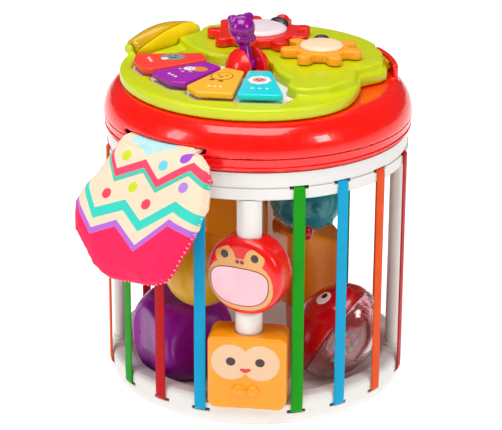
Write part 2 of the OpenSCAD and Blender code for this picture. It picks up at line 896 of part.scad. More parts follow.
// Half of the rattle's egg-shaped shell, on the side of a turn about its long axis
module half_egg(turn) {
  rotate([0, 0, turn]) translate([0, 0.1, 0]) rotate_extrude(angle = 180) polygon(concat(
    [for (i = [-9:9]) [25 * cos(i * 10), 33 * sin(i * 10)]],
    [for (i = [9:-1:-9]) [22.8 * cos(i * 10), 30.8 * sin(i * 10)]]
  ));
}

module rattle_bird() {
  color("crimson") on_rattle() half_egg(90);
}

module rattle_window() {
  color("lightgray") on_rattle() half_egg(-90);
}

module rattle_beads() {
  color("gold") on_rattle() for (i = [0:4], j = [0:2])
    translate([5 + 4.2 * j, -10 + 5.2 * i, -9 + 2.2 * i - 2.4 * j]) sphere(r = 2.2, $fn = 24);
}

base_tray();
base_plate();
left_post();
right_post();
back_post();
bead_rod();
orange_bands();
green_bands();
red_bands();
blue_bands();
upper_ring();
case_screws();
head_base();
head_shell();
top_panel();
key_bed();
red_key();
purple_key();
yellow_key();
cyan_key();
red_dome();
purple_dome();
yellow_dome();
cyan_dome();
circuit_board();
speaker();
batteries();
battery_contacts();
battery_door();
power_switch();
bear_dome();
bear_pin();
bear_lever();
gear_posts();
gear_screws();
red_gear();
red_gear_face();
orange_gear();
orange_gear_face();
barrel_axle();
barrel_shell();
barrel_window();
roller_axle();
click_roller();
frog_bead();
frog_face();
frog_mirror();
square_bead();
square_face();
cloth_flap();
purple_block();
mustard_ball();
coral_block();
orange_block();
teal_ball();
amber_block();
rattle_bird();
rattle_window();
rattle_beads();
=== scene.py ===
import json
import math

import bmesh
import bpy
from mathutils import Matrix, Vector
from mathutils.bvhtree import BVHTree


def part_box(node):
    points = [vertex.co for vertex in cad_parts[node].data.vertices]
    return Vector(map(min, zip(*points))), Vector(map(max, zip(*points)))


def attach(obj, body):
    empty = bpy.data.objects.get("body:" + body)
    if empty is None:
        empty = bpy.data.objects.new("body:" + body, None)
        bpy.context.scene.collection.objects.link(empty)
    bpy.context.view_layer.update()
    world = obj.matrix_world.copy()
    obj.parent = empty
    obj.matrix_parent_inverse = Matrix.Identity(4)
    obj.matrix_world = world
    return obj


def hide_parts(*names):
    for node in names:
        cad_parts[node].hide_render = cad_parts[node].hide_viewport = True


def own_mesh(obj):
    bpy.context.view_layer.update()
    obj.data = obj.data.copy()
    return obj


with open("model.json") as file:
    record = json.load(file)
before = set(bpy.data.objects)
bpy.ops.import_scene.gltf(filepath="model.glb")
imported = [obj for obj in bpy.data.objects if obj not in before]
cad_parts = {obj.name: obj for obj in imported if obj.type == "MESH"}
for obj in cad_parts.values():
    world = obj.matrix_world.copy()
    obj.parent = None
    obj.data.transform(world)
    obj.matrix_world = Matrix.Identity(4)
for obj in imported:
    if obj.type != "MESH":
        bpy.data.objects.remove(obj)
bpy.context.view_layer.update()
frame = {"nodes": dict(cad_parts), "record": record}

# A baby activity drum: a cage of elastic bands round loose shapes, with a music head on top.
# Lengths are in millimetres up to the place where a mesh is made, and in metres from there on.

MM = 0.001
RECORD = frame["record"]
BODY = {node: body for body, nodes in RECORD["behaviour"]["bodies"].items() for node in nodes}
SLOT = {part["node"]: part["material_slot"] for part in RECORD["subparts"]}

# Camera: direction from the object, distance from the point it looks at, and roll
CAMERA_TURN = 3.2
CAMERA_RISE = 21.22
CAMERA_ROLL = 0.313
CAMERA_AWAY = 1307.4
CAMERA_LENS = 152.7
LOOK_HEIGHT = 100.25
LOOK_SIDE = -3.864

# Light from the surroundings that falls on the drum, and what each kind of ray sees more or less
WORLD_LEVEL = 0.28
RAY_EXTRAS = {"Is Camera Ray": 0.8, "Is Glossy Ray": -0.2, "Is Transmission Ray": 0.5}
FLOOR_GLOW = 0.48

# Soft boxes: turn from the front towards the right, rise, distance, size and power
LIGHT_AIM = 0.12
LAMPS = {
    "top_box": (-10, 68, 1.2, (0.9, 0.7), 11),
    "left_box": (-58, 22, 1.2, (0.25, 0.5), 2.8),
    "right_box": (52, 26, 1.2, (0.2, 0.36), 2.8),
    "back_box": (190, 62, 1.3, (0.9, 0.6), 3),
}

# Elastic bands, and half the length of the slots they pass through
HALF_SLOT = 6.2
BAND_WIDTH = 7.4
BAND_THICK = 1.0
BAND_BEND = 1.7
BAND_NECK = 6.5
BAND_TAILS = (5, 2.6)

# Beads on the rod: their play, their turn, and heights on the square bead
ROD_PLAY = 0.15
FROG_YAW = -22
SQUARE_YAW = -4
SQUARE_EYES = 45.4
SQUARE_PAWS = 28

# Cloth flap: its turn round the drum, its lean, and the place of its upper edge
FLAP_TURN = -38
FLAP_LEAN = 20
FLAP_RADIUS = 97
FLAP_TOP = 171
SHELL_CLEAR = 93.3
FLAP_GRAIN = 2.6
FLAP_SWELL = 3
SEAM_RADIUS = 0.8
FLAP_MIDDLE = (2, 38)
FLAP_REACH = 90
CUTTER_HEIGHTS = (60, 240)

# Printed films: how far above a surface they are dropped from, and how deep they sit in it
FILM_START = 30
FILM_SINK = 0.25

# The ring's cover meets its collar at this height
RING_PARTING = 151.25

# Floor: its radius, and how far it lies below the drum, in metres
FLOOR_RADIUS = 14
FLOOR_DROP = 0.0004

# Each rounded piece: the grain it is remeshed with, and how many times it is smoothed
MOULDS = {
    "red_key": (0.45, 9),
    "purple_key": (0.45, 9),
    "yellow_key": (0.45, 9),
    "cyan_key": (0.45, 9),
    "frog_bead": (0.6, 6),
    "square_bead": (0.75, 12),
    "red_gear_face": (0.5, 4),
    "orange_gear_face": (0.5, 4),
    "purple_block": (1.1, 22),
    "mustard_ball": (1.2, 14),
    "coral_block": (1.1, 22),
    "orange_block": (1.0, 20),
    "teal_ball": (0.8, 9),
    "amber_block": (1.1, 22),
    "rattle_bird": (0.7, 8),
    "rattle_window": (0.7, 8),
    "head_shell": (0.85, 4),
    "top_panel": (0.75, 22),
    "key_bed": (0.8, 3),
    "bead_rod": (0.7, 5),
    "bear_dome": (0.45, 8),
    "bear_lever": (0.4, 8),
    "red_gear": (0.55, 12),
    "orange_gear": (0.55, 12),
    "barrel_shell": (0.5, 4),
    "barrel_window": (0.5, 4),
    "click_roller": (0.35, 3),
    "power_switch": (0.3, 4),
}


# ---- Colour and material nodes ----


def srgb(red, green, blue):
    """A linear colour from screen values of 0 to 255."""

    def linear(value):
        value /= 255
        return value / 12.92 if value <= 0.04045 else ((value + 0.055) / 1.055) ** 2.4

    return (linear(red), linear(green), linear(blue), 1)


def shade(colour, amount):
    """The colour made darker or lighter, kept within what a surface can reflect."""
    return tuple(min(0.97, c * amount) for c in colour[:3]) + (1,)


def toward(colour, other, share):
    """A colour between two others."""
    return tuple(a + (b - a) * share for a, b in zip(colour, other))


WHITE = (0.95, 0.95, 0.95, 1)


class Tree:
    """One material's nodes, with short ways to add them and join them."""

    def __init__(self, name):
        self.material = bpy.data.materials.new(name)
        self.material.use_nodes = True
        self.nodes = self.material.node_tree.nodes
        self.links = self.material.node_tree.links
        self.shader = self.nodes["Principled BSDF"]
        self.place = self.nodes.new("ShaderNodeTexCoord").outputs["Object"]

    def put(self, value, socket):
        if isinstance(value, bpy.types.NodeSocket):
            self.links.new(value, socket)
        else:
            socket.default_value = value

    def feed(self, name, value):
        self.put(value, self.shader.inputs[name])

    def math(self, operation, *values):
        node = self.nodes.new("ShaderNodeMath")
        node.operation = operation
        for value, socket in zip(values, node.inputs):
            self.put(value, socket)
        return node.outputs[0]

    def mix(self, share, first, second):
        node = self.nodes.new("ShaderNodeMix")
        node.data_type = "RGBA"
        self.put(share, node.inputs[0])
        self.put(first, node.inputs[6])
        self.put(second, node.inputs[7])
        return node.outputs[2]

    def noise(self, scale, detail=2.0, stretch=None):
        node = self.nodes.new("ShaderNodeTexNoise")
        node.inputs["Scale"].default_value = scale
        node.inputs["Detail"].default_value = detail
        place = self.place if stretch is None else self.stretched(stretch)
        self.put(place, node.inputs["Vector"])
        return node.outputs[0]

    def stretched(self, scale):
        node = self.nodes.new("ShaderNodeMapping")
        node.inputs["Scale"].default_value = scale
        self.put(self.place, node.inputs["Vector"])
        return node.outputs[0]

    def spread(self, value, low, high, to_low=0.0, to_high=1.0):
        node = self.nodes.new("ShaderNodeMapRange")
        for socket, number in zip(node.inputs, (value, low, high, to_low, to_high)):
            self.put(number, socket)
        return node.outputs[0]

    def axis(self, name):
        node = self.nodes.new("ShaderNodeSeparateXYZ")
        self.put(self.place, node.inputs[0])
        return node.outputs[name]

    def along(self, origin, direction):
        """The distance from origin along a direction, in millimetres."""
        offset = self.nodes.new("ShaderNodeVectorMath")
        offset.operation = "SUBTRACT"
        self.put(self.place, offset.inputs[0])
        offset.inputs[1].default_value = origin
        product = self.nodes.new("ShaderNodeVectorMath")
        product.operation = "DOT_PRODUCT"
        self.put(offset.outputs[0], product.inputs[0])
        product.inputs[1].default_value = direction
        return self.math("MULTIPLY", product.outputs["Value"], 1 / MM)

    def wave(self, value, pitch):
        """A sine of 0 to 1 with the given pitch."""
        turn = self.math("MULTIPLY", value, 2 * math.pi / pitch)
        return self.math("MULTIPLY_ADD", self.math("SINE", turn), 0.5, 0.5)

    def edges(self):
        """1 on sharp outer edges, 0 on flat and hollow places."""
        geometry = self.nodes.new("ShaderNodeNewGeometry")
        return self.spread(geometry.outputs["Pointiness"], 0.56, 0.7)

    def bump(self, height, strength, depth, below=None):
        node = self.nodes.new("ShaderNodeBump")
        node.inputs["Strength"].default_value = strength
        node.inputs["Distance"].default_value = depth
        self.put(height, node.inputs["Height"])
        if below is not None:
            self.put(below, node.inputs["Normal"])
        return node.outputs[0]


def plastic(name, colour, rough=0.3, coat=0.3, mottle=0.04, wear=0.1, soft=0.0):
    """Moulded plastic: faint flow marks, an orange-peel skin, and edges worn a little paler."""
    tree = Tree(name)
    flow = tree.noise(42, 3)
    tone = tree.mix(flow, shade(colour, 1 - mottle), shade(colour, 1 + mottle))
    paler = toward(shade(colour, 1.1), WHITE, 0.12)
    tree.feed("Base Color", tree.mix(tree.math("MULTIPLY", tree.edges(), wear), tone, paler))
    tree.feed("Roughness", tree.spread(tree.noise(160, 4), 0.3, 0.7, rough - 0.05, rough + 0.07))
    tree.feed("Normal", tree.bump(tree.noise(620, 2), 0.12, 0.00004))
    tree.feed("Specular IOR Level", 0.35)
    tree.feed("Coat Weight", coat)
    tree.feed("Coat Roughness", 0.07)
    tree.feed("Subsurface Weight", soft)
    tree.feed("Subsurface Radius", (0.003, 0.002, 0.0015))
    return tree.material


def elastic(name, colour):
    """Woven elastic: cords along the band, fine ribs across it, a soft sheen, and painted shade in the
    weave's grooves.
    """
    tree = Tree(name)
    angle = tree.math("ARCTAN2", tree.axis("X"), tree.axis("Y"))
    cords = tree.wave(angle, 0.9 / 92)
    ribs = tree.wave(tree.axis("Z"), 0.0012)
    weave = tree.math("MULTIPLY_ADD", ribs, 0.4, tree.math("MULTIPLY", cords, 0.6))
    # Painted shade: the colour darkens in the weave's grooves, and it also varies at random in tone.
    groove_shade_and_tone = tree.math("MULTIPLY_ADD", weave, 0.35, tree.math("MULTIPLY", tree.noise(90, 4), 0.65))
    tree.feed("Base Color", tree.mix(groove_shade_and_tone, shade(colour, 0.82), shade(colour, 1.16)))
    tree.feed("Roughness", tree.spread(tree.noise(240, 3), 0.3, 0.7, 0.46, 0.62))
    tree.feed("Normal", tree.bump(weave, 0.35, 0.00012))
    tree.feed("Sheen Weight", 0.03)
    tree.feed("Specular IOR Level", 0.15)
    return tree.material


def see_through(name, colour, rough=0.06, share=1.0, mottle=0.05, crinkle=0.1):
    """Clear or tinted plastic with faint flow lines, or crinkled like film."""
    tree = Tree(name)
    flow = tree.noise(60, 2, (1, 1, 3))
    tree.feed("Base Color", tree.mix(flow, shade(colour, 1 - mottle), shade(colour, 1 + mottle)))
    tree.feed("Roughness", tree.spread(tree.noise(200, 3), 0.3, 0.7, rough, rough + 0.06))
    tree.feed("Normal", tree.bump(tree.noise(130, 2), crinkle, 0.0002 + 0.001 * crinkle))
    tree.feed("Transmission Weight", share)
    tree.feed("IOR", 1.46)
    tree.feed("Coat Weight", 0.5)
    return tree.material


def mirror(name):
    """A soft plastic mirror with slow ripples, faintly pink: the pink is a painted reflection of red.
    """
    tree = Tree(name)
    # Painted reflection: two pinks of reflected red, mixed in slow patches.
    tone = tree.mix(tree.noise(55, 1), srgb(205, 152, 160), srgb(228, 190, 200))
    tree.feed("Base Color", tone)
    tree.feed("Roughness", tree.spread(tree.noise(170, 3), 0.3, 0.7, 0.16, 0.26))
    tree.feed("Normal", tree.bump(tree.noise(70, 1), 0.12, 0.0006))
    tree.feed("Metallic", 0.82)
    return tree.material


def steel(name, colour):
    """Plated steel with fine drawing marks."""
    tree = Tree(name)
    marks = tree.noise(900, 3, (1, 1, 0.1))
    tree.feed("Base Color", tree.mix(marks, shade(colour, 0.85), shade(colour, 1.1)))
    tree.feed("Roughness", tree.spread(marks, 0.3, 0.7, 0.22, 0.4))
    tree.feed("Normal", tree.bump(marks, 0.2, 0.00005))
    tree.feed("Metallic", 1.0)
    return tree.material


def ink(name, colour, rough=0.32):
    """A printed film: even ink with a fine halftone grain under a satin varnish."""
    tree = Tree(name)
    grain = tree.noise(1500, 2)
    tree.feed("Base Color", tree.mix(grain, shade(colour, 0.94), shade(colour, 1.05)))
    tree.feed("Roughness", tree.spread(tree.noise(140, 3), 0.3, 0.7, rough, rough + 0.08))
    tree.feed("Normal", tree.bump(grain, 0.06, 0.00004))
    tree.feed("Coat Weight", 0.25)
    return tree.material


def seeds(name):
    """Small glossy seeds in many colours."""
    tree = Tree(name)
    colour = tree.nodes.new("ShaderNodeCombineColor")
    colour.mode = "HSV"
    tree.put(tree.spread(tree.noise(150, 0), 0.35, 0.65), colour.inputs[0])
    tree.put(tree.spread(tree.noise(400, 2), 0.3, 0.7, 0.7, 0.9), colour.inputs[1])
    tree.put(tree.spread(tree.noise(60, 1), 0.3, 0.7, 0.75, 0.95), colour.inputs[2])
    tree.feed("Base Color", colour.outputs[0])
    tree.feed("Roughness", tree.spread(tree.noise(300, 2), 0.3, 0.7, 0.2, 0.35))
    tree.feed("Normal", tree.bump(tree.noise(900, 2), 0.1, 0.00005))
    return tree.material


# ---- Printed cloth ----


def flap_axes():
    """The flap's corner and its directions across, down and out, in metres and unit vectors."""
    turn = Matrix.Rotation(math.radians(FLAP_TURN), 3, "Z")
    lean = math.radians(FLAP_LEAN)
    origin = turn @ Vector((0, -FLAP_RADIUS, FLAP_TOP)) * MM
    across = turn @ Vector((1, 0, 0))
    down = turn @ Vector((0, -math.sin(lean), -math.cos(lean)))
    out = turn @ Vector((0, -math.cos(lean), math.sin(lean)))
    return origin, across, down, out


# Corners of each printed zigzag, across and down, and the stripes under it: from, to, colour
ZIGZAGS = [
    (
        [(-60, -20), (-23, 8), (-15, 20), (5, 10), (17, 19), (38, 4), (47, 8.5)],
        [(-2.6, 2.4, srgb(250, 66, 104)), (2.4, 5.4, srgb(72, 205, 180))],
    ),
    (
        [(-60, -2), (-37.6, 30), (-25, 46), (-3.5, 36), (11, 45), (33.5, 28), (47, 32)],
        [(-3, 3.4, srgb(44, 218, 200))],
    ),
    (
        [(-60, 18), (-43, 41), (-24.5, 57), (-6.7, 48), (11, 58.5), (32, 38), (44, 41)],
        [(-2.2, 1.6, srgb(190, 104, 222)), (1.6, 99, srgb(255, 4, 88))],
    ),
]

# Printed dots: across, down, colour
DOTS = [
    (-10, 8.6, srgb(216, 226, 20)),
    (18.5, 8, srgb(104, 216, 240)),
    (32, 0.5, srgb(164, 76, 214)),
    (-32, 19, srgb(176, 120, 226)),
    (36.5, 16.5, srgb(184, 134, 228)),
    (0, 25, srgb(214, 226, 24)),
    (-18.5, 33, srgb(246, 62, 96)),
    (12.5, 32, srgb(246, 62, 96)),
]
DOT_SIZE = 3.4
CLOUD = [(-8, -3, 4), (-1, -1.5, 4.6), (5, 0.5, 5), (11, -2, 4.4), (16, -4, 4)]
ACROSS_RANGE = (-60, 60)
DOWN_RANGE = (-20, 90)


def zigzag_curve(tree, across, corners):
    """How far down a zigzag runs at each place across the cloth."""
    node = tree.nodes.new("ShaderNodeFloatCurve")
    curve = node.mapping.curves[0]
    spans = [high - low for low, high in (ACROSS_RANGE, DOWN_RANGE)]
    places = [((u - ACROSS_RANGE[0]) / spans[0], (w - DOWN_RANGE[0]) / spans[1]) for u, w in corners]
    for point, (x, y) in zip(curve.points, (places[0], places[-1])):
        point.location = (x, y)
    for x, y in places[1:-1]:
        curve.points.new(x, y)
    for point in curve.points:
        point.handle_type = "VECTOR"
    node.mapping.update()
    tree.put(tree.spread(across, *ACROSS_RANGE), node.inputs["Value"])
    return tree.spread(node.outputs[0], 0, 1, *DOWN_RANGE)


def spot(tree, across, down, u, w, size):
    """1 inside a slightly leaning round spot."""
    du = tree.math("SUBTRACT", across, u)
    dw = tree.math("SUBTRACT", down, w)
    leaning = tree.math("MULTIPLY_ADD", dw, 0.28, du)
    far = tree.math("SQRT", tree.math("ADD", tree.math("MULTIPLY", leaning, leaning),
                                      tree.math("MULTIPLY", dw, dw)))
    return tree.spread(far, size, size - 0.4)


def printed_cloth(name):
    """Padded cotton with a zigzag and dot print, a plain weave and a little puckering."""
    tree = Tree(name)
    origin, across_way, down_way, _ = flap_axes()
    across = tree.along(origin, across_way)
    down = tree.along(origin, down_way)
    ground = tree.mix(tree.noise(70, 3), srgb(250, 220, 186), srgb(255, 230, 204))
    paint = ground
    for u, w, size in CLOUD:
        paint = tree.mix(spot(tree, across, down, u, w, size), paint, srgb(186, 232, 236))
    for u, w, colour in DOTS:
        paint = tree.mix(spot(tree, across, down, u, w, DOT_SIZE), paint, colour)
    for corners, stripes in ZIGZAGS:
        below = tree.math("SUBTRACT", down, zigzag_curve(tree, across, corners))
        for low, high, colour in stripes:
            inside = tree.math("MULTIPLY", tree.spread(below, low - 0.15, low + 0.15),
                               tree.spread(below, high + 0.15, high - 0.15))
            paint = tree.mix(inside, paint, colour)
    warp = tree.wave(across, 0.55)
    weft = tree.wave(down, 0.55)
    weave = tree.math("MULTIPLY", warp, weft)
    shaded = tree.math("MULTIPLY_ADD", weave, -0.05, 0.15)
    paint = tree.mix(shaded, paint, srgb(108, 96, 92))
    tree.feed("Base Color", paint)
    tree.feed("Roughness", tree.spread(tree.noise(300, 3), 0.3, 0.7, 0.72, 0.86))
    pucker = tree.bump(tree.noise(110, 4), 0.35, 0.0012)
    tree.feed("Normal", tree.bump(weave, 0.3, 0.00018, pucker))
    tree.feed("Sheen Weight", 0.06)
    tree.feed("Sheen Roughness", 0.5)
    tree.feed("Specular IOR Level", 0.12)
    return tree.material


# ---- The finish of each slot ----

# Plastics: colour, roughness, coat, mottling, wear and softness
PLASTICS = {
    "white_plastic": ((227, 225, 221), 0.34, 0.2, 0.02, 0.1, 0.05),
    # The posts are white plastic; their slightly darker, warmer tone is painted shade and colour bleed
    # from the bands.
    "post_plastic": ((222, 218, 210), 0.36, 0.2, 0.02, 0.1, 0.05),
    "rod_plastic": ((230, 228, 222), 0.3, 0.3, 0.02, 0.1, 0.05),
    "red_plastic": ((244, 18, 8), 0.22, 0.6),
    "lime_plastic": ((198, 210, 0), 0.34, 0.3),
    "bed_plastic": ((240, 230, 230), 0.38, 0.2, 0.02),
    "red_key_plastic": ((252, 60, 48), 0.34, 0.3),
    "purple_key_plastic": ((164, 26, 172), 0.32, 0.35),
    "yellow_key_plastic": ((255, 184, 42), 0.34, 0.3),
    "cyan_key_plastic": ((0, 214, 222), 0.32, 0.3),
    "dome_rubber": ((88, 88, 92), 0.7, 0.0),
    "board_laminate": ((30, 120, 70), 0.5, 0.2),
    "speaker_plastic": ((52, 52, 54), 0.7, 0.0),
    "battery_sleeve": ((178, 132, 60), 0.3, 0.5),
    "bear_plastic": ((140, 0, 142), 0.24, 0.6),
    "gear_red_plastic": ((236, 26, 18), 0.28, 0.5),
    "gear_orange_plastic": ((255, 164, 34), 0.4, 0.2),
    "pink_plastic": ((236, 216, 222), 0.36, 0.2, 0.02),
    "peach_plastic": ((250, 214, 176), 0.42, 0.15, 0.02),
    "yellow_plastic": ((255, 218, 0), 0.26, 0.5),
    "frog_red_plastic": ((226, 10, 4), 0.28, 0.45),
    "bead_orange_plastic": ((246, 152, 4), 0.34, 0.3),
    "purple_plastic": ((140, 0, 146), 0.3, 0.3),
    "mustard_plastic": ((226, 176, 22), 0.36, 0.25),
    "coral_plastic": ((232, 70, 40), 0.36, 0.25),
    "block_orange_plastic": ((238, 136, 0), 0.36, 0.25),
    "teal_plastic": ((0, 128, 136), 0.28, 0.45),
    "rattle_red_plastic": ((196, 0, 12), 0.24, 0.6),
}
ELASTICS = {
    "orange_elastic": ((226, 78, 6),),
    "green_elastic": ((16, 150, 10),),
    "red_elastic": ((184, 4, 12),),
    "blue_elastic": ((0, 158, 204),),
}
STEELS = {
    "screw_steel": ((190, 190, 192),),
    "contact_steel": ((214, 214, 214),),
}
# Clear plastics: colour, roughness, share of light let through, mottling and crinkling
CLEAR = {
    "amber_plastic": ((238, 190, 8), 0.16, 0.3),
    "clear_plastic": ((255, 212, 218), 0.04, 1.0, 0.05, 0.5),
}
INKS = {
    "tan_print": ((222, 164, 92),),
    "cream_print": ((226, 188, 148),),
}
FINISH = {
    "mirror_film": mirror("mirror_film"),
    "print_cloth": printed_cloth("print_cloth"),
    "seed_plastic": seeds("seed_plastic"),
}
for kind, table in ((plastic, PLASTICS), (elastic, ELASTICS), (steel, STEELS), (see_through, CLEAR),
                    (ink, INKS)):
    for name, (colour, *facts) in table.items():
        FINISH[name] = kind(name, srgb(*colour), *facts)
DARK = ink("dark_print", srgb(44, 22, 18), 0.24)
AMBER_BLOCK = plastic("amber_block_plastic", srgb(222, 142, 10), 0.36, 0.25)
NOSE = plastic("nose_plastic", srgb(40, 46, 52), 0.22, 0.5)
DEEP_RED = ink("deep_red_print", srgb(140, 14, 20))
BRIGHT_RED = ink("bright_red_print", srgb(216, 34, 26))
WHITE_INK = ink("white_print", srgb(246, 240, 238))
GREY_INK = ink("grey_print", srgb(132, 150, 148))
BROWN_INK = ink("brown_print", srgb(150, 78, 8))
ORANGE_INK = ink("orange_print", srgb(236, 138, 42))
PINK_INK = ink("pink_print", srgb(232, 150, 150))
YELLOW_INK = ink("key_face_print", srgb(255, 188, 52))
THREAD = ink("thread", srgb(252, 232, 214), 0.7)
# Painted shadow: a grey strip laid in the ring's seam.
PAINTED_SEAM_SHADOW = plastic("painted_seam_shadow", srgb(176, 166, 156), 0.5, 0.0, 0.02)


# ---- Mesh helpers ----


def make(name, verts, faces, crisp=None):
    """A smooth-shaded object from vertices in metres, with edges over an angle kept sharp."""
    mesh = bpy.data.meshes.new(name)
    mesh.from_pydata([tuple(v) for v in verts], [], faces)
    mesh.update()
    mesh.shade_smooth()
    if crisp is not None:
        mesh.set_sharp_from_angle(angle=math.radians(crisp))
    piece = bpy.data.objects.new(name, mesh)
    bpy.context.scene.collection.objects.link(piece)
    return piece


def wall(low, high, count):
    """The faces between two closed rows of vertices, which start at low and at high."""
    return [(low + k, low + (k + 1) % count, high + (k + 1) % count, high + k) for k in range(count)]


def settle(piece):
    """Applies the piece's modifiers."""
    graph = bpy.context.evaluated_depsgraph_get()
    mesh = bpy.data.meshes.new_from_object(piece.evaluated_get(graph))
    piece.modifiers.clear()
    piece.data = mesh
    mesh.shade_smooth()


def copy_of(node, name):
    """A CAD node's solid as a new object, with the corners its faces share joined."""
    source = frame["nodes"][node].data
    verts = [v.co.copy() for v in source.vertices]
    piece = make(name, verts, [tuple(p.vertices) for p in source.polygons])
    work = bmesh.new()
    work.from_mesh(piece.data)
    bmesh.ops.remove_doubles(work, verts=work.verts, dist=0.002 * MM)
    work.to_mesh(piece.data)
    work.free()
    return piece


def paint(piece, material):
    piece.data.materials.clear()
    piece.data.materials.append(material)


def take_place(node):
    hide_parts(node)


def stand_for(piece, node):
    """The piece takes the place of a CAD node, which is hidden: it moves with the node's body and has
    the finish of the node's slot.
    """
    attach(piece, BODY[node])
    take_place(node)
    paint(piece, FINISH[SLOT[node]])
    return piece


def add_on(piece, node, material):
    """The piece moves with a CAD node, in a finish of its own."""
    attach(piece, BODY[node])
    paint(piece, material)
    return piece


def moulded(node):
    """A CAD node with its edges rounded as a mould leaves them: a fine remesh, then smoothing."""
    grain, rounds = MOULDS[node]
    piece = copy_of(node, node + ".moulded")
    remesh = piece.modifiers.new("grain", "REMESH")
    remesh.mode = "VOXEL"
    remesh.voxel_size = grain * MM
    remesh.use_smooth_shade = True
    smooth = piece.modifiers.new("round", "SMOOTH")
    smooth.factor = 0.5
    smooth.iterations = rounds
    settle(piece)
    return stand_for(piece, node)


def thin_down(piece, depth):
    """Draws the whole skin of a piece in by a hair."""
    inward = [v.normal * depth * MM for v in piece.data.vertices]
    for vert, step in zip(piece.data.vertices, inward):
        vert.co -= step


def turned(angle):
    return Matrix.Rotation(math.radians(angle), 4, "Z")


def middle(node):
    low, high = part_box(node)
    return (low + high) / 2


def surface_of(piece):
    return BVHTree.FromObject(piece, bpy.context.evaluated_depsgraph_get())


# ---- Films: thin printed shapes laid on a surface ----


def oval(across, up, power=2.0, steps=64):
    """Points round an oval, squarer with a higher power."""
    points = []
    for i in range(steps):
        angle = 2 * math.pi * i / steps
        c, s = math.cos(angle), math.sin(angle)
        x = math.copysign(abs(c) ** (2 / power), c) * across
        y = math.copysign(abs(s) ** (2 / power), s) * up
        points.append((x, y))
    return points


def blob(shapes, steps=120):
    """The outline of overlapping ovals, seen from the origin: each is x, y, across, up, power."""
    points = []
    for i in range(steps):
        angle = 2 * math.pi * i / steps
        c, s = math.cos(angle), math.sin(angle)
        reach = 0
        for x, y, across, up, power in shapes:
            for k in range(1, 241):
                far = k * 0.1
                part = abs((far * c - x) / across) ** power + abs((far * s - y) / up) ** power
                if part <= 1:
                    reach = max(reach, far)
        points.append((reach * c, reach * s))
    return points


def film(name, node, place, surface, outline, lift, material, rings=7):
    """A thin closed film: rings of the outline from its middle, dropped on a surface.

    place puts the film's plane in the frame, with Z away from the surface."""
    away = (place.to_3x3() @ Vector((0, 0, 1))).normalized()
    tops, bottoms = [], []
    scales = [k / rings for k in range(1, rings + 1)]
    plan = [(0, 0)] + [(x * s, y * s) for s in scales for x, y in outline]
    for x, y in plan:
        start = place @ (Vector((x, y, FILM_START)) * MM)
        hit, normal, _, _ = surface.ray_cast(start, -away)
        if hit is None:
            hit, normal = place @ (Vector((x, y, 0)) * MM), away
        tops.append(hit + normal * lift * MM)
        bottoms.append(hit - normal * FILM_SINK * MM)
    count, total = len(outline), len(plan)
    faces = []
    for i in range(count):
        j = (i + 1) % count
        faces.append((0, 1 + i, 1 + j))
        faces.append((total, total + 1 + j, total + 1 + i))
        for k in range(rings - 1):
            a, b = 1 + k * count, 1 + (k + 1) * count
            faces.append((a + i, b + i, b + j, a + j))
            faces.append((total + a + i, total + a + j, total + b + j, total + b + i))
        rim = 1 + (rings - 1) * count
        faces.append((rim + i, total + rim + i, total + rim + j, rim + j))
    piece = make(name, tops + bottoms, faces, 50)
    return add_on(piece, node, material)


def shifted(place, x, y, angle=0):
    """A film's place moved in its own plane, in millimetres, and turned."""
    return place @ Matrix.Translation(Vector((x, y, 0)) * MM) @ turned(angle)


# ---- Low domes ----


def dome(name, place, sizes, node, material, steps=40, tiers=10):
    """A low rounded dome on a plane: sizes are half across, half along and height."""
    across, along, height = sizes
    verts, faces = [], []
    for k in range(tiers):
        lean = math.pi / 2 * k / tiers
        for i in range(steps):
            angle = 2 * math.pi * i / steps
            verts.append(place @ (Vector((across * math.cos(lean) ** 0.8 * math.cos(angle),
                                          along * math.cos(lean) ** 0.8 * math.sin(angle),
                                          height * math.sin(lean))) * MM))
    verts.append(place @ (Vector((0, 0, height)) * MM))
    for k in range(tiers - 1):
        faces += wall(k * steps, (k + 1) * steps, steps)
    last = (tiers - 1) * steps
    faces += [(last + i, last + (i + 1) % steps, len(verts) - 1) for i in range(steps)]
    faces.append(tuple(reversed(range(steps))))
    return add_on(make(name, verts, faces, 60), node, material)


# ---- Elastic bands ----


def band_turns(node):
    """The middle angle of each band of a node, read from the faces that stand on the outside."""
    verts = [v.co for v in frame["nodes"][node].data.vertices]
    reach = max(math.hypot(v.x, v.y) for v in verts)
    angles = sorted(math.degrees(math.atan2(v.x, -v.y)) for v in verts
                    if math.hypot(v.x, v.y) > reach - 0.1 * MM)
    groups = [[angles[0]]]
    for angle in angles[1:]:
        if angle - groups[-1][-1] > 10:
            groups.append([])
        groups[-1].append(angle)
    return [sum(group) / len(group) for group in groups]


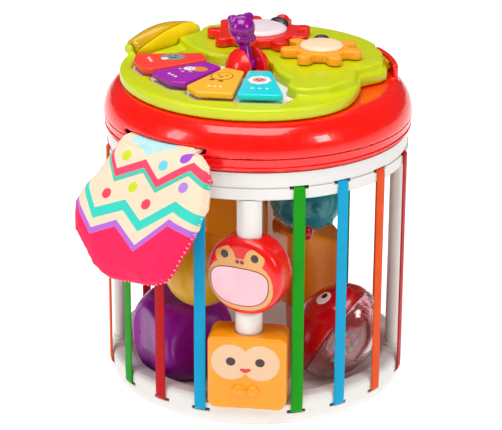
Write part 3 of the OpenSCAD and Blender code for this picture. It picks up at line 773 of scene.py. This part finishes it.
def band_path():
    """The band's middle line from slot to slot: radius, height, outward direction and width."""
    verts = [v.co for v in frame["nodes"]["red_bands"].data.vertices]
    reach = max(math.hypot(v.x, v.y) for v in verts)
    outside = [v.z / MM for v in verts if math.hypot(v.x, v.y) > reach - 0.1 * MM]
    radius = reach / MM - BAND_THICK / 2 - 0.05
    low, high = min(outside) + BAND_THICK / 2, max(outside) - BAND_THICK / 2
    path = [(radius - tail, high, 90, BAND_NECK) for tail in BAND_TAILS]
    for i in range(7):
        tilt = 90 - 15 * i
        lean = math.radians(tilt)
        path.append((radius - BAND_BEND + BAND_BEND * math.cos(lean),
                     high - BAND_BEND + BAND_BEND * math.sin(lean), tilt, BAND_NECK + 0.05 * i))
    spans = 36
    for i in range(1, spans):
        z = high - BAND_BEND + (low - high + 2 * BAND_BEND) * i / spans
        edge = min(i, spans - i) / spans
        width = BAND_WIDTH - 0.5 * math.exp(-edge * 30) - 0.25 * math.sin(math.pi * i / spans)
        path.append((radius, z, 0, width))
    for i in range(7):
        tilt = -15 * i
        lean = math.radians(tilt)
        path.append((radius - BAND_BEND + BAND_BEND * math.cos(lean),
                     low + BAND_BEND + BAND_BEND * math.sin(lean), tilt, BAND_NECK + 0.3 - 0.05 * i))
    path += [(radius - tail, low, -90, BAND_NECK) for tail in reversed(BAND_TAILS)]
    return path


def band_section(width):
    """A flat section with round sides: across, and out from the middle line."""
    half, thick = width / 2, BAND_THICK / 2
    points = []
    for side in (1, -1):
        for i in range(7):
            angle = math.radians(30 * i - 90 * side)
            points.append((side * (half - thick) + thick * math.cos(angle), thick * math.sin(angle)))
    return points


def bands(node):
    """The four bands of one colour, each swept from its upper slot to its lower one."""
    verts, faces = [], []
    path = band_path()
    for turn in band_turns(node):
        first = len(verts)
        for radius, z, tilt, width in path:
            lean = math.radians(tilt)
            for across, out in band_section(width):
                spot_at = Vector((across, -(radius + out * math.cos(lean)), z + out * math.sin(lean)))
                verts.append(turned(turn) @ (spot_at * MM))
        size = len(band_section(BAND_WIDTH))
        for k in range(len(path) - 1):
            faces += wall(first + k * size, first + (k + 1) * size, size)
        faces.append(tuple(reversed(range(first, first + size))))
        faces.append(tuple(range(len(verts) - size, len(verts))))
    stand_for(make(node + ".swept", verts, faces, 60), node)


# ---- Cloth flap ----


def drum_cutter():
    """A tall many-sided drum as wide as the shell, to cut the flap's back with."""
    sides = 96
    verts = [Vector((SHELL_CLEAR * math.sin(2 * math.pi * i / sides),
                     SHELL_CLEAR * math.cos(2 * math.pi * i / sides), z)) * MM
             for z in CUTTER_HEIGHTS for i in range(sides)]
    faces = wall(0, sides, sides)
    faces += [tuple(reversed(range(sides))), tuple(range(sides, 2 * sides))]
    return make("cutter", verts, faces)


def flap_shape():
    """The padded flap's starting shape: the CAD solid cut clear of the head, and remeshed."""
    piece = copy_of("cloth_flap", "cloth_flap.padded")
    cutter = drum_cutter()
    cut = piece.modifiers.new("cut", "BOOLEAN")
    cut.operation = "DIFFERENCE"
    cut.object = cutter
    cut.solver = "EXACT"
    settle(piece)
    bpy.data.objects.remove(cutter)
    remesh = piece.modifiers.new("grain", "REMESH")
    remesh.mode = "VOXEL"
    remesh.voxel_size = FLAP_GRAIN * MM
    settle(piece)
    return piece


def inflate(piece, limit, frames=20):
    """Blows the piece up a little as cloth, and stops each point at a limit in millimetres."""
    start = [v.co.copy() for v in piece.data.vertices]
    cloth = piece.modifiers.new("cloth", "CLOTH")
    cloth.settings.quality = 6
    cloth.settings.mass = 0.2
    cloth.settings.tension_stiffness = 8
    cloth.settings.compression_stiffness = 4
    cloth.settings.bending_stiffness = 0.3
    cloth.settings.use_pressure = True
    cloth.settings.uniform_pressure_force = 4
    cloth.settings.effector_weights.gravity = 0
    cloth.point_cache.frame_start = 1
    cloth.point_cache.frame_end = frames
    for step in range(1, frames + 1):
        bpy.context.scene.frame_set(step)
    settle(piece)
    bpy.context.scene.frame_set(1)
    _, _, _, out = flap_axes()
    for vertex, co in zip(piece.data.vertices, start):
        moved = vertex.co - co
        outward = out * max(-limit * MM, min(limit * MM, moved.dot(out)))
        inward = moved - out * moved.dot(out)
        if inward.length > limit / 3 * MM:
            inward = inward.normalized() * limit / 3 * MM
        vertex.co = co + outward + inward


def clear_of_head(piece):
    """Keeps every point of the flap outside the head's shell and the ring."""
    for vertex in piece.data.vertices:
        co = vertex.co
        radius = math.hypot(co.x, co.y)
        if radius < SHELL_CLEAR * MM:
            vertex.co = (co.x * SHELL_CLEAR * MM / radius, co.y * SHELL_CLEAR * MM / radius, co.z)


def flap_rim(piece, count=180):
    """Points round the flap's edge at half its depth, and the way out from its middle at each."""
    origin, across, down, out = flap_axes()
    surface = surface_of(piece)
    depths = [(v.co - origin).dot(out) for v in piece.data.vertices]
    depth = (max(depths) + min(depths)) / 2
    centre = origin + (across * FLAP_MIDDLE[0] + down * FLAP_MIDDLE[1]) * MM + out * depth
    points = []
    for i in range(count):
        angle = 2 * math.pi * i / count
        ray = across * math.cos(angle) + down * math.sin(angle)
        hit, _, _, _ = surface.ray_cast(centre + ray * FLAP_REACH * MM, -ray)
        if hit is not None:
            points.append((hit, ray))
    return points


def tube(name, line, radius, sides=8):
    """A closed loop of round cord: each point of the line has a position and a way out."""
    verts, faces = [], []
    _, _, _, out = flap_axes()
    for co, ray in line:
        for k in range(sides):
            angle = 2 * math.pi * k / sides
            verts.append(co + (ray * math.cos(angle) + out * math.sin(angle)) * radius * MM)
    count = len(line)
    for i in range(count):
        faces += wall(i * sides, (i + 1) % count * sides, sides)
    return make(name, verts, faces)


def stitches(name, line, every=2):
    """Short overlocked stitches across the seam cord."""
    verts, faces = [], []
    _, _, _, out = flap_axes()
    sides, radius, steps = 6, 0.22 * MM, 8
    for co, ray in line[::every]:
        along = out.cross(ray).normalized()
        first = len(verts)
        for step in range(steps + 1):
            turn = math.radians(-80 + 160 * step / steps)
            arm = ray * math.cos(turn) + out * math.sin(turn)
            lean = along * (0.5 * MM * step / steps)
            swell = radius * (0.3 if step in (0, steps) else 1)
            for k in range(sides):
                angle = 2 * math.pi * k / sides
                ring = arm * math.cos(angle) + along * math.sin(angle)
                verts.append(co + arm * 0.85 * MM + lean + ring * swell)
        for step in range(steps):
            faces += wall(first + step * sides, first + (step + 1) * sides, sides)
        faces.append(tuple(reversed(range(first, first + sides))))
        faces.append(tuple(range(len(verts) - sides, len(verts))))
    return make(name, verts, faces)


def flap_hem():
    """The thin hem that runs from the flap's top edge into the slit of the head."""
    verts, faces = [], []
    line = [(89.5, 171.95, 0.9), (92, 171.9, 0.95), (93.6, 171.7, 1.1), (95.2, 171.0, 1.6),
            (97, 169.8, 2.2), (98.6, 168.0, 2.4)]
    steps = 36
    for i in range(steps + 1):
        u = -18 + 50 * i / steps
        ripple = 0.25 * math.sin(u * 0.55) + 0.15 * math.sin(u * 1.3 + 1)
        for radius, z, half in line:
            fade = min(1, max(0, (radius - 92.5) / 3))
            for side in (1, -1):
                y = -math.sqrt(max(0, radius ** 2 - u ** 2 * (1 - fade)))
                co = Vector((u, y - ripple * fade, z + side * half + ripple * fade))
                verts.append(turned(FLAP_TURN) @ (co * MM))
    rows = 2 * len(line)
    loop = [2 * k for k in range(len(line))] + [2 * k + 1 for k in reversed(range(len(line)))]
    for i in range(steps):
        a, b = i * rows, (i + 1) * rows
        for p, q in zip(loop, loop[1:] + loop[:1]):
            faces.append((a + p, a + q, b + q, b + p))
    faces.append(tuple(reversed(loop)))
    faces.append(tuple(steps * rows + k for k in loop))
    return make("cloth_flap.hem", verts, faces, 60)


def cloth_flap():
    """The padded cloth flap, with its hem, its seam cord and stitches."""
    piece = flap_shape()
    inflate(piece, FLAP_SWELL)
    clear_of_head(piece)
    calm = piece.modifiers.new("calm", "SMOOTH")
    calm.factor = 0.5
    calm.iterations = 3
    finer = piece.modifiers.new("finer", "SUBSURF")
    finer.levels = 1
    finer.render_levels = 1
    settle(piece)
    clear_of_head(piece)
    piece.data.update()
    stand_for(piece, "cloth_flap")
    rim = flap_rim(piece)
    extras = [
        (flap_hem(), FINISH["print_cloth"]),
        (tube("cloth_flap.seam", rim, SEAM_RADIUS), FINISH["print_cloth"]),
        (stitches("cloth_flap.stitches", rim), THREAD),
    ]
    for extra, material in extras:
        paint(extra, material)
        extra.parent = piece
        extra.matrix_parent_inverse = piece.matrix_world.inverted()


# ---- Faces of the beads ----


def bead_front(yaw, height):
    """The plane of a bead's front: X to its right, Y up and Z out to the front."""
    rod = middle("bead_rod")
    place = Matrix.Translation(Vector((rod.x, rod.y, height * MM)))
    return place @ turned(yaw) @ Matrix.Rotation(math.radians(90), 4, "X")


def frog_mouth(grow):
    """The outline of the frog's mouth, flatter above than below, grown all round."""
    upper = [(x, y) for x, y in oval(18 + grow, 9 + grow, 3.4) if y >= 0]
    return upper + [(x, y) for x, y in oval(18 + grow, 13.6 + grow, 2.3) if y < 0]


def frog_bead():
    """The round bead with its face, mouth, eyes and nostrils."""
    bead = moulded("frog_bead")
    front = surface_of(bead)
    height = middle("frog_bead").z / MM
    place = shifted(bead_front(FROG_YAW, height), -0.9, 0)
    face_place = shifted(place, 0, -4)
    face = blob([(0, 0, 20.8, 15.8, 2.3), (-9.6, 17, 6.1, 6.1, 2), (9.6, 17, 6.1, 6.1, 2)])
    head = film("frog_face.print", "frog_face", face_place, front, face, 0.12, FINISH["tan_print"], 12)
    take_place("frog_face")
    mouth_place = shifted(place, 0, -3.2)
    film("frog_lip.print", "frog_mirror", mouth_place, front, frog_mouth(0.55), 0.2, DEEP_RED, 10)
    mouth = film("frog_mirror.film", "frog_mirror", mouth_place, front, frog_mouth(0), 0.3,
                 FINISH["mirror_film"], 10)
    take_place("frog_mirror")
    for side in (-1, 1):
        label = "left" if side < 0 else "right"
        film(f"frog_eye_{label}.print", "frog_face", shifted(place, side * 9.5, 13.4), front,
             oval(2.4, 2.4), 0.2, DARK, 3)
        film(f"frog_nostril_{label}.print", "frog_face", shifted(place, side * 1.45, 9.8), front,
             oval(1.3, 1.2), 0.2, DEEP_RED, 2)


def square_bead():
    """The square bead with its eye mask, eyes, cheeks, paws and mouth."""
    bead = moulded("square_bead")
    front = surface_of(bead)
    place = shifted(bead_front(SQUARE_YAW, 0), -0.5, SQUARE_EYES)
    eyes = blob([(-8.8, 0, 11.4, 11.2, 2), (8.8, 0, 11.4, 11.2, 2)])
    mask = film("square_face.print", "square_face", place, front, eyes, 0.12, FINISH["cream_print"], 12)
    take_place("square_face")
    for side in (-1, 1):
        label = "left" if side < 0 else "right"
        film(f"square_eye_{label}.print", "square_face", shifted(place, side * 8.6, 0.4), front,
             oval(2.8, 2.6), 0.2, DARK, 3)
        film(f"square_cheek_{label}.print", "square_face", shifted(place, side * 1.7, -4.6), front,
             oval(1.5, 1.0), 0.22, BRIGHT_RED, 2)
        paw = shifted(place, side * 4.4, SQUARE_PAWS - SQUARE_EYES)
        paw = paw @ Matrix.Translation(Vector((0, 0, 11.2)) * MM)
        dome(f"square_paw_{label}.dome", paw, (4.1, 3.4, 3.9), "square_bead",
             FINISH["bead_orange_plastic"], steps=28, tiers=7)
    film("square_mouth.print", "square_face", shifted(place, 0, -5.2), front,
         oval(2.1, 1.3, 2.0), 0.21, BRIGHT_RED, 2)


# ---- Top of the head ----


def gear_faces():
    """The two gears' animal faces: a cap, a dark nose and a small bump behind the red one."""
    moulded("red_gear_face")
    moulded("orange_gear_face")
    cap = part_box("red_gear_face")[1].z
    red, orange = middle("red_gear_face"), middle("orange_gear_face")
    nose_at = Vector((red.x + 11.4 * MM, red.y + 13.4 * MM, cap - 2.6 * MM))
    nose_place = Matrix.Translation(nose_at) @ turned(-38)
    dome("red_gear_nose.dome", nose_place, (6.8, 4.6, 3.6), "red_gear_face", NOSE)
    bump_at = Vector((red.x + 13 * MM, red.y + 20 * MM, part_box("red_gear")[1].z - 0.5 * MM))
    dome("red_gear_bump.dome", Matrix.Translation(bump_at), (4.8, 4.2, 4.6), "red_gear",
         FINISH["gear_red_plastic"])
    nose_at = Vector((orange.x - 0.4 * MM, orange.y + 12.4 * MM, cap - 2.6 * MM))
    dome("orange_gear_nose.dome", Matrix.Translation(nose_at), (5, 3.6, 3.2), "orange_gear_face", NOSE)


def key_place(node, x, y, angle=0):
    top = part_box(node)[1].z
    return Matrix.Translation(Vector((x * MM, y * MM, top))) @ turned(angle)


# A ring of small ovals and one in the middle, for the outline of a fleece
WOOL = [(4.3 * math.cos(turn), 5.2 * math.sin(turn), 2.6, 2.9, 2)
        for turn in (math.radians(45 * k) for k in range(8))] + [(0, 0, 4.6, 5.6, 2)]

# Each key: its picture's place and turn, its marks' place, turn and spacing, and the picture's
# films as name, x, y, outline, lift, ink and rings
PICTURES = {
    "red_key": ((-51.5, 2.2, 14), (-64.6, -3.4, -72, 3.4), [
        ("oval", 0, 0, oval(7.4, 6), 0.08, GREY_INK, 3),
        ("ear", -5.2, -2.2, oval(2.2, 2), 0.14, WHITE_INK, 2),
        ("eye_0", -1.4, 1.6, oval(0.7, 0.7, steps=20), 0.16, DARK, 2),
        ("eye_1", 2.2, 1.8, oval(0.7, 0.7, steps=20), 0.16, DARK, 2),
        ("smile", 0.6, -1.6, oval(2.4, 0.6), 0.15, DARK, 2),
    ]),
    "purple_key": ((-37.6, -21.4, -28), (-48.4, -33.4, -52, 3.4), [
        ("body", 3.2, 2.4, oval(5.4, 4.4), 0.08, ORANGE_INK, 3),
        ("head", -2.2, 0.2, oval(3.6, 3.4), 0.14, WHITE_INK, 3),
        ("eye_0", -3.4, 0.6, oval(0.6, 0.6, steps=20), 0.2, DARK, 2),
        ("eye_1", -1, 0.6, oval(0.6, 0.6, steps=20), 0.2, DARK, 2),
        ("paw_a", -6.6, -3, oval(1.3, 1.2, steps=24), 0.1, PINK_INK, 2),
        ("paw_b", -2.8, -6.4, oval(1.3, 1.2, steps=24), 0.1, PINK_INK, 2),
        ("paw_c", 1.4, -4.6, oval(1.3, 1.2, steps=24), 0.1, PINK_INK, 2),
    ]),
    "yellow_key": ((-19.3, -33.6, -14), (-22.2, -53.2, -8, 3.4), [
        ("mane", 0, 0, oval(6.6, 7.4), 0.07, BROWN_INK, 3),
        ("face", 0, 0, oval(6.0, 6.8), 0.12, YELLOW_INK, 3),
        ("eye_a", -2.4, 1.4, oval(1.0, 0.7, steps=24), 0.17, BROWN_INK, 2),
        ("eye_b", 2.4, 1.4, oval(1.0, 0.7, steps=24), 0.17, BROWN_INK, 2),
        ("nose", 0, -1.6, oval(1.3, 1.0, steps=24), 0.17, BROWN_INK, 2),
        ("paw_a", -3.6, -8.2, oval(1.6, 1.2, steps=24), 0.17, BROWN_INK, 2),
        ("paw_b", 2.2, -9.2, oval(1.6, 1.2, steps=24), 0.17, BROWN_INK, 2),
    ]),
    "cyan_key": ((2.9, -39.6, -2), (3.8, -55.4, 0, 4.2), [
        ("wool", 0, 0, blob(WOOL), 0.08, WHITE_INK, 3),
        ("face", 0, 0, oval(4.0, 4.0), 0.14, PINK_INK, 3),
        ("eye_a", -1.5, 0.9, oval(0.6, 0.7, steps=20), 0.2, DARK, 2),
        ("eye_b", 1.5, 0.9, oval(0.6, 0.7, steps=20), 0.2, DARK, 2),
        ("mouth", 0, -1.2, oval(1.0, 0.5, steps=20), 0.2, DARK, 2),
    ]),
}


def key_picture(node, surface):
    """A key's printed picture, and three small round marks near its front edge."""
    picture_at, (x, y, angle, spacing), films = PICTURES[node]
    place = key_place(node, *picture_at)
    for label, right, up, outline, lift, colour, rings in films:
        film(f"{node}_{label}.print", node, shifted(place, right, up), surface, outline, lift, colour,
             rings)
    for i in (-1, 0, 1):
        mark_at = shifted(key_place(node, x, y, angle), i * spacing, 0)
        film(f"{node}_mark_{i + 2}.print", node, mark_at, surface, oval(1.0, 1.0, steps=24), 0.08,
             WHITE_INK, 2)


def rubber_dome(key):
    """The rubber dome under a key, copied from its CAD node with a mesh of its own."""
    node = key.replace("_key", "_dome")
    piece = stand_for(copy_of(node, node + ".rubber"), node)
    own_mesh(piece)


def keys():
    """The four keys, each with its picture and its rubber dome."""
    for node in PICTURES:
        key_picture(node, surface_of(moulded(node)))
        rubber_dome(node)


# ---- Loose shapes ----


def rattle_eye(surface):
    """The bird rattle's round eye with its pupil."""
    out = Vector((-0.117, -0.376, 0.919)).normalized()
    side = Vector((1, 0, 0)) - out * out.x
    side.normalize()
    up = out.cross(side)
    place = Matrix((side, up, out)).transposed().to_4x4()
    place.translation = middle("rattle_bird") + out * 10 * MM
    film("rattle_eye.print", "rattle_bird", place, surface, oval(4.6, 4.4), 0.12, WHITE_INK, 4)
    film("rattle_pupil.print", "rattle_bird", shifted(place, 0.6, 1.2), surface, oval(1.9, 1.8), 0.2,
         DARK, 2)


def loose_shapes():
    """The shapes that lie in the cage, and the bird rattle."""
    moulded("purple_block")
    moulded("mustard_ball")
    moulded("coral_block")
    moulded("orange_block")
    moulded("teal_ball")
    paint(moulded("amber_block"), AMBER_BLOCK)
    nub = Matrix.Translation(middle("teal_ball") + Vector((0, -14, -17)) * MM)
    nub = nub @ Matrix.Rotation(math.radians(135), 4, "X")
    dome("teal_ball_nub.dome", nub, (4.2, 5.2, 6.5), "teal_ball", FINISH["rattle_red_plastic"])
    bird = moulded("rattle_bird")
    rattle_eye(surface_of(bird))
    moulded("rattle_window")


# ---- Casings ----


def ring_seam_shadow():
    """A painted seam shadow: a grey strip along the fine line where the ring's cover meets its collar,
    broken at the slots.
    """
    verts, faces = [], []
    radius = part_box("upper_ring")[1].x / MM
    slots = sorted(turn for node in ("orange_bands", "green_bands", "red_bands", "blue_bands")
                   for turn in band_turns(node))
    half_slot = math.degrees(HALF_SLOT / radius)
    for start, end in zip(slots, slots[1:] + [slots[0] + 360]):
        start, end = start + half_slot, end - half_slot
        steps = max(2, int((end - start) / 2))
        first = len(verts)
        for i in range(steps + 1):
            turn = start + (end - start) * i / steps
            for out, up in ((0.02, -0.16), (0.02, 0.16), (-0.7, 0.16), (-0.7, -0.16)):
                verts.append(turned(turn) @ (Vector((0, -(radius + out), RING_PARTING + up)) * MM))
        for i in range(steps):
            faces += wall(first + 4 * i, first + 4 * (i + 1), 4)
        faces.append((first, first + 3, first + 2, first + 1))
        faces.append(tuple(range(len(verts) - 4, len(verts))))
    add_on(make("upper_ring_seam_shadow.line", verts, faces, 30), "upper_ring", PAINTED_SEAM_SHADOW)


def head_seam():
    """A narrow red step behind the gap between the head's two shells."""
    low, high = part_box("head_shell")
    radius, z = high.x / MM - 0.5, low.z / MM - 0.15
    steps = 180
    section = [(0, -0.5), (0, 0.5), (-1, 0.5), (-1, -0.5)]
    verts = [turned(360 * i / steps) @ (Vector((0, -(radius + out), z + up)) * MM)
             for i in range(steps) for out, up in section]
    faces = [face for i in range(steps) for face in wall(4 * i, 4 * ((i + 1) % steps), 4)]
    add_on(make("head_seam.line", verts, faces, 30), "head_shell", FINISH["red_plastic"])


def casings():
    """The shells of the head, the rod, and the seams between the shells, with the ring's seam drawn as
    a strip of painted shadow.
    """
    ring_seam_shadow()
    head_seam()
    moulded("head_shell")
    moulded("top_panel")
    moulded("key_bed")
    thin_down(moulded("bead_rod"), ROD_PLAY)


def head_toys():
    """What is worked by hand on the head: bear, gears, barrel, roller, switch and keys."""
    moulded("bear_dome")
    moulded("bear_lever")
    moulded("red_gear")
    moulded("orange_gear")
    moulded("barrel_shell")
    moulded("barrel_window")
    moulded("click_roller")
    moulded("power_switch")
    gear_faces()
    keys()


def finish_cad_nodes():
    """Gives the CAD nodes that still show, and the hidden inner ones, their finishes."""
    for name, node in frame["nodes"].items():
        material = FINISH[SLOT[name]]
        for slot in node.material_slots:
            slot.link = "OBJECT"
            slot.material = material


# ---- Studio ----


def stage_floor():
    """A wide pale floor with a faint grain."""
    tree = Tree("floor")
    tree.feed("Base Color", tree.mix(tree.noise(6, 4), (0.9, 0.9, 0.9, 1), (0.94, 0.94, 0.94, 1)))
    tree.feed("Roughness", 0.9)
    tree.feed("Specular IOR Level", 0.1)
    tree.feed("Emission Color", (1, 1, 1, 1))
    tree.feed("Emission Strength", FLOOR_GLOW)
    sides = 96
    verts = [Vector((FLOOR_RADIUS * math.cos(2 * math.pi * i / sides),
                     FLOOR_RADIUS * math.sin(2 * math.pi * i / sides), -FLOOR_DROP))
             for i in range(sides)]
    floor = make("floor", verts, [tuple(range(sides))])
    paint(floor, tree.material)


def soft_light(name, turn, rise, away, size, power):
    """A soft box that faces the drum's middle."""
    lamp = bpy.data.lights.new(name, "AREA")
    lamp.shape = "RECTANGLE"
    lamp.size, lamp.size_y = size
    lamp.energy = power
    light = bpy.data.objects.new(name, lamp)
    a, e = math.radians(turn), math.radians(rise)
    back = Vector((math.sin(a) * math.cos(e), -math.cos(a) * math.cos(e), math.sin(e)))
    light.location = Vector((0, 0, LIGHT_AIM)) + back * away
    light.rotation_mode = "QUATERNION"
    light.rotation_quaternion = back.to_track_quat("Z", "Y")
    bpy.context.scene.collection.objects.link(light)


def studio():
    """White surroundings that the camera sees as white and the object reflects more dimly."""
    world = bpy.data.worlds.new("studio")
    world.use_nodes = True
    nodes, links = world.node_tree.nodes, world.node_tree.links
    seen = nodes.new("ShaderNodeLightPath")
    start = nodes.new("ShaderNodeValue")
    level = start.outputs[0]
    level.default_value = WORLD_LEVEL
    for ray, extra in RAY_EXTRAS.items():
        step = nodes.new("ShaderNodeMath")
        step.operation = "MULTIPLY_ADD"
        links.new(seen.outputs[ray], step.inputs[0])
        step.inputs[1].default_value = extra
        links.new(level, step.inputs[2])
        level = step.outputs[0]
    nodes["Background"].inputs["Color"].default_value = (1, 1, 1, 1)
    links.new(level, nodes["Background"].inputs["Strength"])
    bpy.context.scene.world = world
    for name, facts in LAMPS.items():
        soft_light(name, *facts)
    bpy.context.scene.view_settings.view_transform = "Standard"


def camera():
    """The camera at the photographed angle."""
    turn, rise, roll = (math.radians(v) for v in (CAMERA_TURN, CAMERA_RISE, CAMERA_ROLL))
    right = Vector((math.cos(turn), math.sin(turn), 0))
    back = Vector((math.sin(turn) * math.cos(rise), -math.cos(turn) * math.cos(rise), math.sin(rise)))
    up = back.cross(right)
    target = Vector((0, 0, LOOK_HEIGHT)) + right * LOOK_SIDE
    x_axis = right * math.cos(roll) + up * math.sin(roll)
    y_axis = up * math.cos(roll) - right * math.sin(roll)
    pose = Matrix((x_axis, y_axis, back)).transposed().to_4x4()
    pose.translation = (target + back * CAMERA_AWAY) * MM
    lens = bpy.data.cameras.new("camera")
    lens.lens = CAMERA_LENS
    lens.sensor_width = 36
    lens.clip_start, lens.clip_end = 0.05, 60
    view = bpy.data.objects.new("camera", lens)
    view.matrix_world = pose
    bpy.context.scene.collection.objects.link(view)
    bpy.context.scene.camera = view


camera()
studio()
stage_floor()
finish_cad_nodes()
casings()
for colour in ("orange", "green", "red", "blue"):
    bands(colour + "_bands")
head_toys()
frog_bead()
square_bead()
loose_shapes()
cloth_flap()
